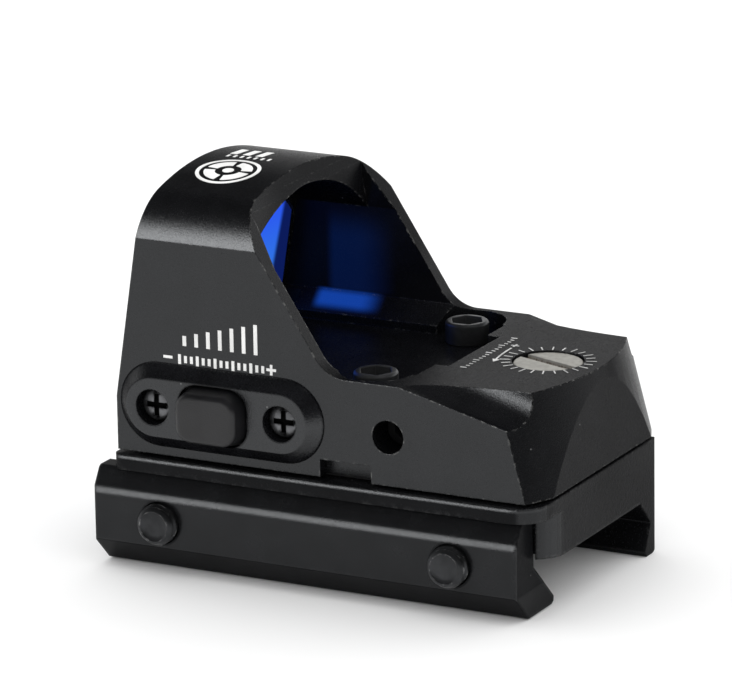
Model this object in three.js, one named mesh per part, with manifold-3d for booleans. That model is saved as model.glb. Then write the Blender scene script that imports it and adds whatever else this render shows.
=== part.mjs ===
// Compact reflex finder on a cross-slot rail clamp.
// Millimetres. +X is the right of the finder, +Y points at the target, +Z is up.
// The origin is the middle of the seat that rests on top of the rail.
import * as THREE from 'three';
import * as BufferGeometryUtils from 'three/addons/utils/BufferGeometryUtils.js';
import Module from 'manifold-3d';

const wasm = await Module();
wasm.setup();

// ---------------------------------------------------------------- dimensions
const CREASE_ANGLE = THREE.MathUtils.degToRad(32);
const SEGMENTS = 24;
const FINE_SEGMENTS = 40;
const CONE_SEGMENTS = 96;
const ARC_STEPS = 4;
const OUTLINE_STEPS = 9;
const MERGE_TOLERANCE = 1e-5;
const OVERSHOOT = 2;

// housing, outside
const HALF_WIDTH = 13.48;
const HOUSING_BOTTOM = 5.82;
const DECK = 15.28;
const FRONT = 19.8;
const FRONT_KNEE = 11;
const FRONT_LEAN = THREE.MathUtils.degToRad(9.1);
const REAR = -23.51;
const SIDE_TOP = 26.28;
const SHOULDER = { x: 6.86, z: 22.74, radius: 7.5 };
const SHOULDER_START = THREE.MathUtils.degToRad(28.15);
const SHOULDER_END = THREE.MathUtils.degToRad(74.52);
const RAKE_SLOPE = 0.645;
const RAKE_POINT = { y: 5.2, z: 26.77 };
const RAKE_FILLET = 3.6;
const VISOR = 7.2;
const CONE_CENTRE = 3;
const CONE_RADIUS = 26.25;
const CONE_ANGLE = THREE.MathUtils.degToRad(13.5);
const GROOVE_RADIUS = 3.4;
const GROOVE_SLOPE = THREE.MathUtils.degToRad(14.5);
const GROOVE_START = -9.55;
const GROOVE_LENGTH = 24;
const GROOVE_LEAD = 4;

// hood, inside
const WALL_INSIDE = 12;
const HOOD_FLOOR = 13.2;
const FLOOR_HALF_WIDTH = 10.2;
const FLOOR_CHAMFER_LOW = 14;
const FLOOR_CHAMFER_HIGH = 15.8;
const HOOD_MOUTH = { y: 6.68, halfWidth: 10.9, cheekTop: 24.4, roofLow: 28 };
const ARCH_CENTRE = 12.2;
const CEILING_RADIUS = 17.1;
const LENS_REAR = 3.3;
const LENS_FRONT = 1.1;
const LENS_HALF_WIDTH = 11.3;
const LENS_LOW = 14.05;
const LENS_ARCH = 16.4;
const LENS_CORNER = 3;
const WINDOW_INSET = 0.9;
const SEAL_WIDTH = 0.4;
const SEAL_GAP = 0.03;

// sight mounting screws on the hood floor
const MOUNT_SCREW = { x: 9.3, y: -5.1, head: 2.08, shank: 1.2, tip: 1.7, hex: 1.38, hexDepth: 1.3 };
const SCREW_POCKET = { x: 9.2, radius: 3.75 };
const EMITTER_POCKET = { halfWidth: 5.4, rear: -10.5, shoulder: -9.2 };
const SHANK_CLEARANCE = 0.12;

// electronics bay under the hood floor
const BAY = { halfWidth: 10.3, rear: -3.5, front: 16.9, top: 12.2 };
const BATTERY = { radius: 10, y: 6.75, low: 5.95, high: 9.15, rim: 0.35, can: 8.6, step: 0.5 };
const BOARD = { left: -10.1, right: 9.9, rear: -3.4, front: 16.5, low: 9.45, high: 10.25 };

// adjuster bay behind the hood
const ADJUSTER_BAY = { halfWidth: 6.2, rear: -21.2, front: -6.9, step: -12.2, low: 12.2, high: 13.7 };
const WIRE_PASSAGE = { halfWidth: 2, low: 9.6, high: 10.6 };
const TUNNEL = { halfWidth: 1.7, rear: -12.4, front: -10.2, low: 12.35, high: 13.65 };
const WINDOW_PANE = { halfWidth: 1.6, rear: -11.6, front: -11.0, low: 12.42, high: 13.58 };

// elevation adjuster
const DIAL = {
  y: -18, head: 3.23, headLow: 14.64, headTop: 15.16, boss: 2.15, bossLow: 13.75,
  shank: 1.2, shankLow: 8.2, slotWidth: 0.95, slotDepth: 0.38, recess: 3.36, recessLow: 14.06,
};
const DIAL_TURN = THREE.MathUtils.degToRad(-20);
const DIAL_BORE = 2.25;
const DIAL_SEAL = { major: 2.6, minor: 0.25, centre: 14.34 };
const NUT = { halfX: 1.9, rear: -19.7, front: -16.3, low: 10, high: 11 };
const NUT_GAP = 0.1;

// windage adjuster
const WINDAGE = {
  y: -8.38, z: 10.43, head: 2.25, headInner: 12.3, headOuter: 13.3, recess: 2.36, recessInner: 11.7,
  shank: 1, shankInner: -1, slotWidth: 0.7, slotDepth: 0.45,
};
const WINDAGE_SEAL = { major: 1.6, minor: 0.26, centre: 11.98 };
const SPRING_HOLE = 1.58;
const SPRING_PLUG = { radius: 1.5, outer: -10.6, inner: -8.95, hex: 0.75, hexDepth: 1.1 };
const WINDAGE_SPRING = { from: -8.9, to: -4.68, radius: 1, wire: 0.17, turns: 5 };

// emitter carrier
const BLOCK = { halfWidth: 4.6, rear: -20.9, front: -7.2, low: 6.1, high: 12, floor: 6.7 };
const BLOCK_SLOT = { halfWidth: 2.6, rear: -20.3, front: -12.9 };
const BLOCK_BORE = { radius: 1.08, end: -2 };
const CARRIAGE = { halfWidth: 2.5, rear: -20.2, front: -13, low: 7.9, high: 13.1 };
const CARRIAGE_NOSE = { halfWidth: 0.9, front: -12.75, low: 12.5 };
const SHANK_SLOT = { halfX: 1.85, halfY: 1.35 };
const LED = { halfWidth: 0.6, rear: -12.75, front: -12.5, low: 12.55, high: 13.05, dome: 0.22 };
const LIFT_SPRING = { y: -14.75, from: 6.72, to: 7.88, radius: 1.1, wire: 0.14, turns: 3 };

// control pad on the left side
const PAD = {
  y: 8.72, z: 10.7, length: 21.3, height: 8.1, bevel: 1.25, face: -14.7, plugInset: 1.4, plugInner: -12.45,
};
const PAD_POCKET_GAP = 0.1;
const PAD_SCREW = {
  front: 15.35, rear: 2.1, hole: 1.72, holeInner: -13.1, head: 1.52, headOuter: -13.92, shank: 0.75,
  shankInner: -10.7, cross: 2.1, crossWidth: 0.5, crossDepth: 0.5,
};
const BUTTON = {
  y: 9.05, z: 10.55, length: 6.3, height: 4.75, corner: 1.55, draft: 0.32, face: -16.3, edge: 0.22,
  base: -13.62, flange: 0.65, flangeInner: -13.05, stem: 0.8, stemZ: 11.1, stemInner: -10.86,
};
const BUTTON_GAP = 0.12;
const BUTTON_POCKET_INNER = -12;
const STEM_BORE = 1;
const SWITCH = { outer: -10.15, inner: -7.2, halfLength: 1.5, low: 10.25, high: 12.05 };
const PLUNGER = { outer: -10.83, inner: -9.3, radius: 0.6, bore: 0.68, boreInner: -8.7 };
const NOTCH = { rear: -6.6, front: -1.4, top: 7.5, inner: -12.1 };

// rail clamp
const BASE_TOP = 5.58;
const BASE_FRONT = 19.95;
const BASE_REAR = -23.58;
const BASE_RIGHT = 11.55;
const BASE_LEFT = -14.4;
const BASE_BOTTOM = -5.55;
const FLANGE_LOW = 4.15;
const BLOCK_LEFT = -11.4;
const BASE_CORNER = 3;
const BASE_FRONT_CORNER = 1;
const SEAT_HALF_WIDTH = 7.85;
const SEAT_RELIEF = 0.4;
const CHANNEL_WIDEST = { x: 10.16, z: -2.41 };
const CHANNEL_LIP = { x: 8.85, z: -5.11 };
const BAR_POCKET = { x: -10.75, rear: -21.9 };
const BAR = { rear: -21.64, front: 22, corner: 0.3 };
const CLAMP_SCREW = {
  spacing: 30, z: -0.5, shank: 1.95, tip: -15.75, tipChamfer: 0.35, headInner: 11.6, headOuter: 13.9,
  head: 3.4, hex: 1.5, hexDepth: 1.5, bore: 2.05,
};
const GASKET = { low: 5.61, high: 5.79, inset: 0.45, left: -11.9, right: 11.2, corner: 2.5 };
const PIN = { x: 10.2, y: 18.3, radius: 0.9, low: 3.6, high: 7.4, gap: 0.06 };

// ---------------------------------------------------------------- solid tools
function toSolid(geometry) {
  const bare = geometry.clone();
  bare.deleteAttribute('normal');
  bare.deleteAttribute('uv');
  const merged = BufferGeometryUtils.mergeVertices(bare, MERGE_TOLERANCE);
  const faces = [];
  const index = merged.index.array;
  for (let i = 0; i < index.length; i += 3) {
    const [a, b, c] = [index[i], index[i + 1], index[i + 2]];
    if (a !== b && b !== c && c !== a) {
      faces.push(a, b, c);
    }
  }
  return new wasm.Manifold(new wasm.Mesh({
    numProp: 3,
    vertProperties: new Float32Array(merged.attributes.position.array),
    triVerts: new Uint32Array(faces),
  }));
}

function toGeometry(solid) {
  const mesh = solid.getMesh();
  const geometry = new THREE.BufferGeometry();
  geometry.setAttribute('position', new THREE.BufferAttribute(new Float32Array(mesh.vertProperties), 3));
  geometry.setIndex(new THREE.BufferAttribute(new Uint32Array(mesh.triVerts), 1));
  return BufferGeometryUtils.toCreasedNormals(geometry, CREASE_ANGLE);
}

function cut(body, ...tools) {
  return tools.reduce((result, tool) => result.subtract(tool), body);
}

function join(body, ...others) {
  return others.reduce((result, other) => result.add(other), body);
}

function box(x0, x1, y0, y1, z0, z1) {
  const geometry = new THREE.BoxGeometry(x1 - x0, y1 - y0, z1 - z0);
  geometry.translate((x0 + x1) / 2, (y0 + y1) / 2, (z0 + z1) / 2);
  return toSolid(geometry);
}

function extruded(shape, depth, steps = ARC_STEPS) {
  return new THREE.ExtrudeGeometry(shape, { depth, bevelEnabled: false, curveSegments: steps });
}

// outline drawn in (x, y), pushed up from z0 to z1
function alongZ(shape, z0, z1) {
  const geometry = extruded(shape, z1 - z0);
  geometry.translate(0, 0, z0);
  return toSolid(geometry);
}

// outline drawn in (x, z), pushed back from y1 to y0
function alongY(shape, y0, y1, steps = ARC_STEPS) {
  const geometry = extruded(shape, y1 - y0, steps);
  geometry.rotateX(Math.PI / 2);
  geometry.translate(0, y1, 0);
  return toSolid(geometry);
}

// outline drawn in (y, z), pushed right from x0 to x1
function alongX(shape, x0, x1, steps = ARC_STEPS) {
  const geometry = extruded(shape, x1 - x0, steps);
  const cycle = new THREE.Matrix4().makeBasis(
    new THREE.Vector3(0, 1, 0),
    new THREE.Vector3(0, 0, 1),
    new THREE.Vector3(1, 0, 0),
  );
  geometry.applyMatrix4(cycle);
  geometry.translate(x0, 0, 0);
  return toSolid(geometry);
}

function polygon(points) {
  return new THREE.Shape(points.map(([a, b]) => new THREE.Vector2(a, b)));
}

function obround(a, b, length, height) {
  const radius = height / 2;
  const reach = length / 2 - radius;
  const shape = new THREE.Shape();
  shape.absarc(a + reach, b, radius, -Math.PI / 2, Math.PI / 2, false);
  shape.absarc(a - reach, b, radius, Math.PI / 2, 3 * Math.PI / 2, false);
  shape.closePath();
  return shape;
}

function roundedRectangle(a, b, length, height, corner) {
  const halfA = length / 2 - corner;
  const halfB = height / 2 - corner;
  const shape = new THREE.Shape();
  shape.absarc(a + halfA, b + halfB, corner, 0, Math.PI / 2, false);
  shape.absarc(a - halfA, b + halfB, corner, Math.PI / 2, Math.PI, false);
  shape.absarc(a - halfA, b - halfB, corner, Math.PI, 3 * Math.PI / 2, false);
  shape.absarc(a + halfA, b - halfB, corner, 3 * Math.PI / 2, 2 * Math.PI, false);
  shape.closePath();
  return shape;
}

// profile of [radius, height] points, turned about a line parallel to one axis
function turned(profile, axis, origin, segments = SEGMENTS) {
  const points = profile.map(([radius, height]) => new THREE.Vector2(radius, height));
  const geometry = new THREE.LatheGeometry(points, segments);
  if (axis === 'z') {
    geometry.rotateX(Math.PI / 2);
  }
  if (axis === 'x') {
    geometry.rotateZ(-Math.PI / 2);
  }
  geometry.translate(...origin);
  return toSolid(geometry);
}

function rod(radius, h0, h1, axis, origin, segments = SEGMENTS) {
  return turned([[0, h0], [radius, h0], [radius, h1], [0, h1]], axis, origin, segments);
}

function hexagon(acrossFlats, h0, h1, axis, origin) {
  return rod(acrossFlats / Math.sqrt(3), h0, h1, axis, origin, 6);
}

// closed ring of round section
function ring(major, minor, axis, origin) {
  const steps = 8;
  const profile = [];
  for (let i = 0; i <= steps; i += 1) {
    const turn = (i / steps) * 2 * Math.PI;
    profile.push([major + minor * Math.cos(turn), minor * Math.sin(turn)]);
  }
  return turned(profile, axis, origin, 20);
}

// straight-sided body between two outlines in (y, z) with the same point count
function loftAlongX(outlineA, xA, outlineB, xB) {
  const count = outlineA.length;
  const positions = [];
  outlineA.forEach((p) => positions.push(xA, p.x, p.y));
  outlineB.forEach((p) => positions.push(xB, p.x, p.y));
  const index = [];
  const cap = THREE.ShapeUtils.triangulateShape(outlineA, []);
  for (const [a, b, c] of cap) {
    index.push(a, c, b);
    index.push(a + count, b + count, c + count);
  }
  for (let i = 0; i < count; i += 1) {
    const next = (i + 1) % count;
    index.push(i, next, next + count);
    index.push(i, next + count, i + count);
  }
  const geometry = new THREE.BufferGeometry();
  geometry.setAttribute('position', new THREE.Float32BufferAttribute(positions, 3));
  geometry.setIndex(index);
  return toSolid(geometry);
}

function outlinePoints(shape) {
  const points = shape.getPoints(OUTLINE_STEPS);
  const last = points.length - 1;
  if (points[0].distanceTo(points[last]) < MERGE_TOLERANCE) {
    points.pop();
  }
  return points;
}

class Coil extends THREE.Curve {
  constructor(radius, height, turns) {
    super();
    this.radius = radius;
    this.height = height;
    this.turns = turns;
  }

  getPoint(t, target = new THREE.Vector3()) {
    const turn = t * this.turns * 2 * Math.PI;
    return target.set(this.radius * Math.cos(turn), this.radius * Math.sin(turn), t * this.height);
  }
}

// round-wire spring standing on z = 0
function coilGeometry(radius, wire, height, turns) {
  const section = new THREE.Shape();
  section.absarc(0, 0, wire, 0, 2 * Math.PI, false);
  const geometry = new THREE.ExtrudeGeometry(section, {
    steps: turns * 12,
    curveSegments: 3,
    bevelEnabled: false,
    extrudePath: new Coil(radius, height - 2 * wire, turns),
  });
  geometry.translate(0, 0, wire);
  return geometry;
}

// ---------------------------------------------------------------- materials
function finish(color, roughness, metalness) {
  return new THREE.MeshStandardMaterial({ color, roughness, metalness });
}

const anodised = () => finish(0x17181a, 0.55, 0.6);
const clampFinish = () => finish(0x1a1b1d, 0.42, 0.6);
const blackSteel = () => finish(0x24262a, 0.38, 0.9);
const brightSteel = () => finish(0xb9b6ad, 0.35, 0.9);
const blackRubber = () => finish(0x121213, 0.75, 0);
const coatedGlass = () => finish(0x1c46d8, 0.08, 0.1);
const clearGlass = () => finish(0xcfe0e8, 0.1, 0);
const sealant = () => finish(0x0c1224, 0.5, 0);
const boardGreen = () => finish(0x1d5a38, 0.55, 0);
const cellSteel = () => finish(0xc9cacb, 0.3, 0.9);
const springSteel = () => finish(0xa7a9ad, 0.35, 0.9);
const contactCopper = () => finish(0xc79a55, 0.35, 0.9);
const ledResin = () => finish(0xd8433a, 0.25, 0);
const brass = () => finish(0xb8954e, 0.4, 0.85);
const switchResin = () => finish(0x1b1b1c, 0.6, 0);
const switchCap = () => finish(0xd9d5c8, 0.6, 0);
const gasketRubber = () => finish(0x0e0e0f, 0.85, 0);

// ---------------------------------------------------------------- housing
function rakeY(z) {
  return RAKE_POINT.y + (z - RAKE_POINT.z) * RAKE_SLOPE;
}

function sideProfile() {
  const high = 34;
  const frontHigh = FRONT - (SIDE_TOP - FRONT_KNEE) * Math.tan(FRONT_LEAN);
  const visorKnee = RAKE_POINT.z + (VISOR - RAKE_POINT.y) / RAKE_SLOPE;
  const rakeAngle = Math.atan2(1, RAKE_SLOPE);
  const tangent = RAKE_FILLET * Math.tan(rakeAngle / 2);
  const corner = rakeY(DECK);
  const shape = new THREE.Shape();
  shape.moveTo(REAR, HOUSING_BOTTOM);
  shape.lineTo(FRONT, HOUSING_BOTTOM);
  shape.lineTo(FRONT, FRONT_KNEE);
  shape.lineTo(frontHigh, SIDE_TOP);
  shape.lineTo(frontHigh, high);
  shape.lineTo(VISOR, high);
  shape.lineTo(VISOR, visorKnee);
  shape.lineTo(corner + tangent * Math.cos(rakeAngle), DECK + tangent * Math.sin(rakeAngle));
  const right = Math.PI / 2;
  shape.absarc(corner - tangent, DECK + RAKE_FILLET, RAKE_FILLET, rakeAngle - right, -right, true);
  shape.lineTo(REAR, DECK);
  shape.closePath();
  return shape;
}

// upright sides that end in a crease, rounded shoulders and a shallow crown
function hoodSection() {
  const { x, z, radius } = SHOULDER;
  const joinX = x + radius * Math.cos(SHOULDER_END);
  const joinZ = z + radius * Math.sin(SHOULDER_END);
  const crownRadius = joinX / Math.cos(SHOULDER_END);
  const crownCentre = joinZ - crownRadius * Math.sin(SHOULDER_END);
  const shape = new THREE.Shape();
  shape.moveTo(-HALF_WIDTH, 0);
  shape.lineTo(HALF_WIDTH, 0);
  shape.lineTo(HALF_WIDTH, SIDE_TOP);
  shape.absarc(x, z, radius, SHOULDER_START, SHOULDER_END, false);
  shape.absarc(0, crownCentre, crownRadius, SHOULDER_END, Math.PI - SHOULDER_END, false);
  shape.absarc(-x, z, radius, Math.PI - SHOULDER_END, Math.PI - SHOULDER_START, false);
  shape.lineTo(-HALF_WIDTH, SIDE_TOP);
  shape.closePath();
  return shape;
}

// cone about an upright axis that rounds off the back of the housing
function rearCone() {
  const low = HOUSING_BOTTOM - OVERSHOOT;
  const high = 36;
  const radiusAt = (z) => CONE_RADIUS - (z - DECK) * Math.tan(CONE_ANGLE);
  const profile = [[0, low], [radiusAt(low), low], [radiusAt(high), high], [0, high]];
  return turned(profile, 'z', [0, CONE_CENTRE, 0], CONE_SEGMENTS);
}

function sideGroove(side) {
  const geometry = new THREE.CylinderGeometry(GROOVE_RADIUS, GROOVE_RADIUS, GROOVE_LENGTH, FINE_SEGMENTS);
  geometry.translate(0, GROOVE_LEAD - GROOVE_LENGTH / 2, 0);
  geometry.rotateX(GROOVE_SLOPE);
  const axisY = GROOVE_START - GROOVE_RADIUS * Math.sin(GROOVE_SLOPE);
  const axisZ = DECK + GROOVE_RADIUS * Math.cos(GROOVE_SLOPE);
  geometry.translate(side * HALF_WIDTH, axisY, axisZ);
  return toSolid(geometry);
}

// turns a body drawn square to the front face into the lean of that face
function leaned(geometry) {
  geometry.translate(0, 0, -FRONT_KNEE);
  geometry.rotateX(FRONT_LEAN);
  geometry.translate(0, FRONT, FRONT_KNEE);
  return toSolid(geometry);
}

// lens outline grown by an amount, in the plane of the leaning front
function lensShape(grow) {
  const halfWidth = LENS_HALF_WIDTH + grow;
  const low = LENS_LOW - grow;
  const corner = LENS_CORNER + grow;
  const arch = LENS_ARCH + grow;
  const start = Math.acos(halfWidth / arch);
  const shape = new THREE.Shape();
  shape.absarc(halfWidth - corner, low + corner, corner, -Math.PI / 2, 0, false);
  shape.absarc(0, ARCH_CENTRE, arch, start, Math.PI - start, false);
  shape.absarc(-halfWidth + corner, low + corner, corner, Math.PI, 3 * Math.PI / 2, false);
  shape.closePath();
  return shape;
}

function leanedPlate(shape, behindFar, behindNear) {
  const geometry = extruded(shape, behindFar - behindNear, OUTLINE_STEPS);
  geometry.rotateX(Math.PI / 2);
  geometry.translate(0, -behindNear, 0);
  return leaned(geometry);
}

// space between the two cheeks behind the mouth of the hood
function openSky() {
  const high = 40;
  const { y, halfWidth, cheekTop, roofLow } = HOOD_MOUTH;
  const outline = polygon([
    [-WALL_INSIDE, FLOOR_CHAMFER_HIGH],
    [WALL_INSIDE, FLOOR_CHAMFER_HIGH],
    [WALL_INSIDE, cheekTop],
    [halfWidth, roofLow],
    [halfWidth, high],
    [-halfWidth, high],
    [-halfWidth, roofLow],
    [-WALL_INSIDE, cheekTop],
  ]);
  return alongY(outline, MOUNT_SCREW.y, y);
}

// arched tunnel behind the lens, joined to the open space behind it
function hoodCavity() {
  const edge = Math.acos(WALL_INSIDE / CEILING_RADIUS);
  const shape = new THREE.Shape();
  shape.moveTo(-FLOOR_HALF_WIDTH, HOOD_FLOOR);
  shape.lineTo(FLOOR_HALF_WIDTH, HOOD_FLOOR);
  shape.lineTo(FLOOR_HALF_WIDTH, FLOOR_CHAMFER_LOW);
  shape.lineTo(WALL_INSIDE, FLOOR_CHAMFER_HIGH);
  shape.absarc(0, ARCH_CENTRE, CEILING_RADIUS, edge, Math.PI - edge, false);
  shape.lineTo(-WALL_INSIDE, FLOOR_CHAMFER_HIGH);
  shape.lineTo(-FLOOR_HALF_WIDTH, FLOOR_CHAMFER_LOW);
  shape.closePath();
  const tunnel = alongY(shape, MOUNT_SCREW.y, FRONT + OVERSHOOT, 2 * OUTLINE_STEPS);
  const frontBlock = new THREE.BoxGeometry(60, 20, 80);
  frontBlock.translate(0, 10 - LENS_REAR, 0);
  return tunnel.subtract(leaned(frontBlock)).add(openSky());
}

function floorPockets() {
  const high = DECK + OVERSHOOT;
  const pockets = [-1, 1].map((side) => {
    const origin = [side * SCREW_POCKET.x, MOUNT_SCREW.y, 0];
    return rod(SCREW_POCKET.radius, HOOD_FLOOR, high, 'z', origin, FINE_SEGMENTS);
  });
  const { halfWidth, rear, shoulder } = EMITTER_POCKET;
  const front = MOUNT_SCREW.y + OVERSHOOT;
  const middle = box(-halfWidth, halfWidth, rear, front, HOOD_FLOOR, high);
  const between = box(-MOUNT_SCREW.x, MOUNT_SCREW.x, shoulder, front, HOOD_FLOOR, high);
  return join(middle, between, ...pockets);
}

function mountScrewHoles() {
  const radius = MOUNT_SCREW.shank + SHANK_CLEARANCE;
  return [-1, 1].map((side) => {
    const origin = [side * MOUNT_SCREW.x, MOUNT_SCREW.y, 0];
    return rod(radius, HOUSING_BOTTOM - OVERSHOOT, HOOD_FLOOR + 1, 'z', origin, 24);
  });
}

function internalBays() {
  const low = HOUSING_BOTTOM - OVERSHOOT;
  const { halfWidth, rear, front, step, high } = ADJUSTER_BAY;
  const wire = WIRE_PASSAGE;
  return [
    box(-BAY.halfWidth, BAY.halfWidth, BAY.rear, BAY.front, low, BAY.top),
    box(-halfWidth, halfWidth, rear, front, low, ADJUSTER_BAY.low),
    box(-halfWidth, halfWidth, rear, step, low, high),
    box(-wire.halfWidth, wire.halfWidth, front - 1, BAY.rear + 1, wire.low, wire.high),
    box(-TUNNEL.halfWidth, TUNNEL.halfWidth, TUNNEL.rear, TUNNEL.front, TUNNEL.low, TUNNEL.high),
  ];
}

function adjusterHoles() {
  const dialOrigin = [0, DIAL.y, 0];
  const sideOrigin = [0, WINDAGE.y, WINDAGE.z];
  const inside = ADJUSTER_BAY.halfWidth - 1;
  return [
    rod(DIAL.recess, DIAL.recessLow, DECK + OVERSHOOT, 'z', dialOrigin, FINE_SEGMENTS),
    rod(DIAL_BORE, ADJUSTER_BAY.high - 1, DECK, 'z', dialOrigin),
    rod(WINDAGE.recess, WINDAGE.recessInner, HALF_WIDTH + OVERSHOOT, 'x', sideOrigin),
    rod(WINDAGE.shank + SHANK_CLEARANCE, inside, HALF_WIDTH, 'x', sideOrigin),
    rod(SPRING_HOLE, -HALF_WIDTH - OVERSHOOT, -inside, 'x', sideOrigin),
  ];
}

function padPocket() {
  const outer = -HALF_WIDTH - OVERSHOOT;
  const inner = PAD.plugInner + PAD_POCKET_GAP;
  const { length, height } = plugSize(PAD_POCKET_GAP);
  const plug = alongX(obround(PAD.y, PAD.z, length, height), outer, inner);
  const travel = alongX(buttonShape(BUTTON.flange + 2 * BUTTON_GAP), outer, BUTTON_POCKET_INNER);
  const stem = rod(STEM_BORE, outer, -BAY.halfWidth + 1, 'x', [0, BUTTON.y, BUTTON.stemZ]);
  const screws = [PAD_SCREW.front, PAD_SCREW.rear].map((y) => {
    return rod(PAD_SCREW.shank + SHANK_CLEARANCE, outer, PAD_SCREW.shankInner, 'x', [0, y, PAD.z], 20);
  });
  return join(plug, travel, stem, ...screws);
}

function pinHoles(low, high) {
  return [-1, 1].map((side) => {
    return rod(PIN.radius + PIN.gap, low, high, 'z', [side * PIN.x, PIN.y, 0], 20);
  });
}

function housing() {
  const body = alongX(sideProfile(), -HALF_WIDTH, HALF_WIDTH, OUTLINE_STEPS)
    .intersect(alongY(hoodSection(), REAR - OVERSHOOT, FRONT + OVERSHOOT, OUTLINE_STEPS))
    .intersect(rearCone());
  const window = leanedPlate(lensShape(-WINDOW_INSET), LENS_REAR + OVERSHOOT, -OVERSHOOT);
  const lensSeat = leanedPlate(lensShape(SEAL_WIDTH + SEAL_GAP), LENS_REAR + OVERSHOOT, LENS_FRONT);
  const notch = box(-HALF_WIDTH - OVERSHOOT, NOTCH.inner, NOTCH.rear, NOTCH.front, 0, NOTCH.top);
  return cut(
    body,
    sideGroove(-1),
    sideGroove(1),
    hoodCavity(),
    window,
    lensSeat,
    floorPockets(),
    ...mountScrewHoles(),
    ...internalBays(),
    ...adjusterHoles(),
    padPocket(),
    notch,
    ...pinHoles(HOUSING_BOTTOM - OVERSHOOT, PIN.high + 0.2),
  );
}

// ---------------------------------------------------------------- lens
function lens() {
  return leanedPlate(lensShape(0), LENS_REAR, LENS_FRONT + SEAL_GAP);
}

function lensSeal() {
  const outer = leanedPlate(lensShape(SEAL_WIDTH), LENS_REAR - 0.1, LENS_FRONT + SEAL_GAP);
  return outer.subtract(leanedPlate(lensShape(SEAL_GAP), LENS_REAR + OVERSHOOT, -OVERSHOOT));
}

// ---------------------------------------------------------------- control pad
function plugSize(gap) {
  return {
    length: PAD.length - 2 * PAD.plugInset + 2 * gap,
    height: PAD.height - 2 * PAD.plugInset + 2 * gap,
  };
}

function buttonShape(grow) {
  const corner = BUTTON.corner + grow / 2;
  return roundedRectangle(BUTTON.y, BUTTON.z, BUTTON.length + grow, BUTTON.height + grow, corner);
}

function controlPad() {
  const foot = outlinePoints(obround(PAD.y, PAD.z, PAD.length, PAD.height));
  const faceLength = PAD.length - 2 * PAD.bevel;
  const faceHeight = PAD.height - 2 * PAD.bevel;
  const face = outlinePoints(obround(PAD.y, PAD.z, faceLength, faceHeight));
  const raised = loftAlongX(face, PAD.face, foot, -HALF_WIDTH - 0.02);
  const { length, height } = plugSize(0);
  const plug = alongX(obround(PAD.y, PAD.z, length, height), -HALF_WIDTH - 0.3, PAD.plugInner);
  const outer = PAD.face - OVERSHOOT;
  const hole = buttonShape(2 * BUTTON_GAP + 2 * BUTTON.draft);
  const buttonHole = alongX(hole, outer, PAD.plugInner + 1, OUTLINE_STEPS);
  const flangeShape = buttonShape(BUTTON.flange + 2 * BUTTON_GAP);
  const flangeHole = alongX(flangeShape, BUTTON.base - BUTTON_GAP, PAD.plugInner + 1);
  const screwHoles = [PAD_SCREW.front, PAD_SCREW.rear].flatMap((y) => [
    rod(PAD_SCREW.hole, outer, PAD_SCREW.holeInner, 'x', [0, y, PAD.z]),
    rod(PAD_SCREW.shank + SHANK_CLEARANCE, outer, PAD.plugInner + 1, 'x', [0, y, PAD.z], 20),
  ]);
  return cut(raised.add(plug), buttonHole, flangeHole, ...screwHoles);
}

function padScrew(y) {
  const { headOuter, holeInner, shankInner, head, shank, cross, crossWidth, crossDepth } = PAD_SCREW;
  const dome = 0.18;
  const profile = [
    [0, headOuter],
    [head * 0.72, headOuter + dome * 0.25],
    [head, headOuter + dome],
    [head, holeInner - 0.02],
    [shank, holeInner - 0.02],
    [shank, shankInner - 0.2],
    [0, shankInner - 0.05],
  ];
  const body = turned(profile, 'x', [0, y, PAD.z]);
  const reach = cross / 2;
  const half = crossWidth / 2;
  const inner = headOuter + crossDepth;
  return cut(
    body,
    box(headOuter - 1, inner, y - reach, y + reach, PAD.z - half, PAD.z + half),
    box(headOuter - 1, inner, y - half, y + half, PAD.z - reach, PAD.z + reach),
  );
}

function brightnessButton() {
  const foot = outlinePoints(buttonShape(2 * BUTTON.draft));
  const rim = outlinePoints(buttonShape(0));
  const crown = outlinePoints(buttonShape(-2 * BUTTON.edge));
  const bodyX = BUTTON.face + BUTTON.edge;
  const top = loftAlongX(crown, BUTTON.face, rim, bodyX);
  const skirt = loftAlongX(rim, bodyX, foot, BUTTON.base + 0.2);
  const flange = alongX(buttonShape(BUTTON.flange), BUTTON.base + 0.02, BUTTON.flangeInner);
  const stem = rod(BUTTON.stem, BUTTON.base + 0.3, BUTTON.stemInner, 'x', [0, BUTTON.y, BUTTON.stemZ], 20);
  return join(top, skirt, flange, stem);
}

// ---------------------------------------------------------------- electronics
function circuitBoard() {
  const board = box(BOARD.left, BOARD.right, BOARD.rear, BOARD.front, BOARD.low, BOARD.high);
  const chip = box(1.5, 6.5, 3, 8, BOARD.high - 0.01, BOARD.high + 1);
  const part = box(3, 5, 10.5, 11.7, BOARD.high - 0.01, BOARD.high + 0.6);
  return join(board, chip, part);
}

function switchBody() {
  const { outer, inner, halfLength, low, high } = SWITCH;
  const body = box(outer, inner, BUTTON.y - halfLength, BUTTON.y + halfLength, low + 0.02, high);
  return body.subtract(rod(PLUNGER.bore, outer - 1, PLUNGER.boreInner, 'x', [0, BUTTON.y, BUTTON.stemZ], 20));
}

function switchPlunger() {
  return rod(PLUNGER.radius, PLUNGER.outer, PLUNGER.inner, 'x', [0, BUTTON.y, BUTTON.stemZ], 20);
}

function battery() {
  const { radius, low, high, rim, can, step } = BATTERY;
  const profile = [
    [0, low],
    [radius - rim, low],
    [radius, low + rim],
    [radius, high - step],
    [radius - rim, high - step + 0.15],
    [can, high - step + 0.15],
    [can - 0.2, high],
    [0, high],
  ];
  return turned(profile, 'z', [0, BATTERY.y, 0], FINE_SEGMENTS);
}

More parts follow.
